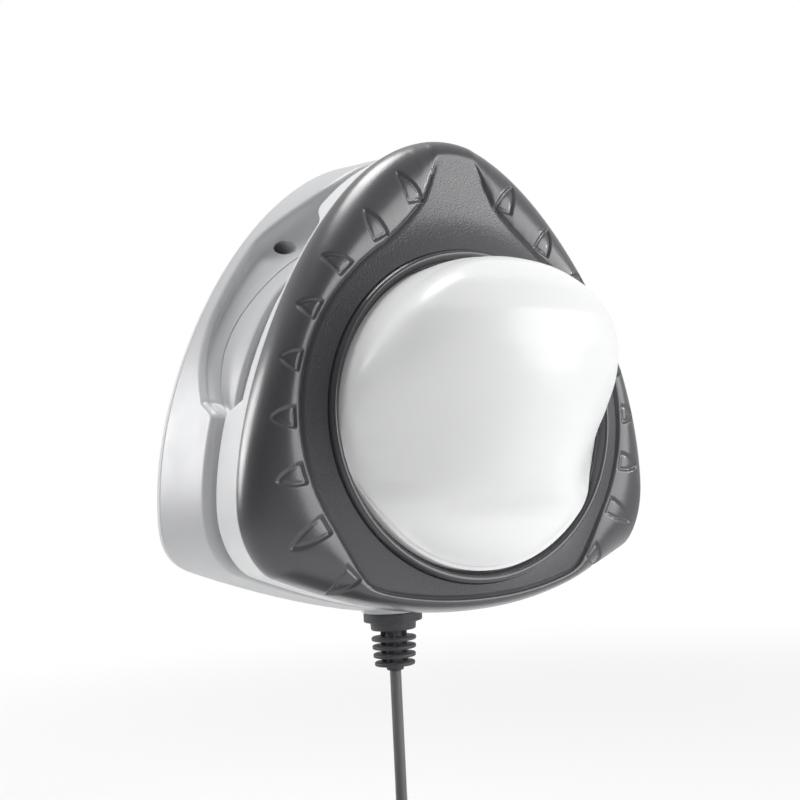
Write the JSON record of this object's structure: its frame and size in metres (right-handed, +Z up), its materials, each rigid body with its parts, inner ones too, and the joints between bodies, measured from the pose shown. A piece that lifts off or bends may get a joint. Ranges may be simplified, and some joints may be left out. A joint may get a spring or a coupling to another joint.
{
  "type": "underwater pool light",
  "caption": "Two-part pool-wall light: domed lamp unit with a dark leaf-marked cover, held through the wall by magnets to a white transmitter unit with its cord and plug-in transformer.",
  "frame": {"origin": "centre of the transmitter unit's pad face, the face that rests on the dry side of the pool wall, level with the middle of the lens", "axes": "+X to the right seen from the lamp side, -Y out of the wall the way the lamp shines, +Z up"},
  "size_m": [0.253, 0.1996, 0.4126],
  "materials": {
    "dark_cover": "satin dark grey moulded plastic, finely grained round the lens",
    "lens_ring": "polished dark grey ring",
    "opal_dome": "glossy milky white, lets light through without showing what is behind",
    "white_shell": "semi-gloss white",
    "grey_shell": "semi-gloss pale grey-white",
    "white_cover": "semi-gloss bright white",
    "pad": "pale grey, finely dotted grip surface",
    "seal": "dark seal rubber",
    "relief_rubber": "dark grey flexible moulding",
    "cord": "grey round cable jacket",
    "tie": "black strap",
    "adapter_plastic": "black finely textured plastic",
    "black_plastic": "black component cases",
    "circuit_board": "green solder mask",
    "heat_spreader": "bare sheet",
    "ferrite": "dark sintered ceramic",
    "copper_winding": "enamelled copper wire",
    "led": "yellow phosphor",
    "plated_metal": "bright nickel plating",
    "screw_steel": "plain stainless steel"
  },
  "bodies": {
    "wall_unit": {"unit_front_shell": "grey_shell", "unit_rear_cover": "white_cover", "unit_pad": "pad", "strain_relief": "relief_rubber", "transmitter_coil": "copper_winding", "transmitter_ferrite": "ferrite", "unit_magnet_top": "plated_metal", "unit_magnet_left": "plated_metal", "unit_magnet_right": "plated_metal", "drive_board": "circuit_board", "drive_inductor": "copper_winding", "drive_capacitor": "black_plastic", "drive_regulator": "black_plastic", "unit_seal": "seal", "unit_screw_left_top": "screw_steel", "unit_screw_right_top": "screw_steel", "unit_screw_left_base": "screw_steel", "unit_screw_right_base": "screw_steel", "cord_run": "cord", "cord_coil": "cord", "cord_tail": "cord", "cord_tie": "tie", "adapter_body": "adapter_plastic", "adapter_relief": "relief_rubber", "adapter_pin_left": "plated_metal", "adapter_pin_right": "plated_metal"},
    "lamp_unit": {"front_cover": "dark_cover", "lens_ring": "lens_ring", "diffuser_dome": "opal_dome", "lamp_rear_shell": "white_shell", "lamp_pad": "pad", "led_board": "circuit_board", "reflector": "white_shell", "heat_spreader": "heat_spreader", "led_1": "led", "led_2": "led", "led_3": "led", "led_4": "led", "led_5": "led", "led_6": "led", "receiver_board": "circuit_board", "receiver_ferrite": "ferrite", "receiver_coil": "copper_winding", "lamp_magnet_top": "plated_metal", "lamp_magnet_left": "plated_metal", "lamp_magnet_right": "plated_metal", "dome_seal": "seal", "lamp_pan": "white_shell", "lamp_screw_left_top": "screw_steel", "lamp_screw_right_top": "screw_steel", "lamp_screw_left_base": "screw_steel", "lamp_screw_right_base": "screw_steel"}
  },
  "joints": [
    {"name": "lamp_pull_off", "type": "slide", "parent": "wall_unit", "child": "lamp_unit", "axis": [0, -1, 0], "range_m": [0, 0.1]}
  ]
}
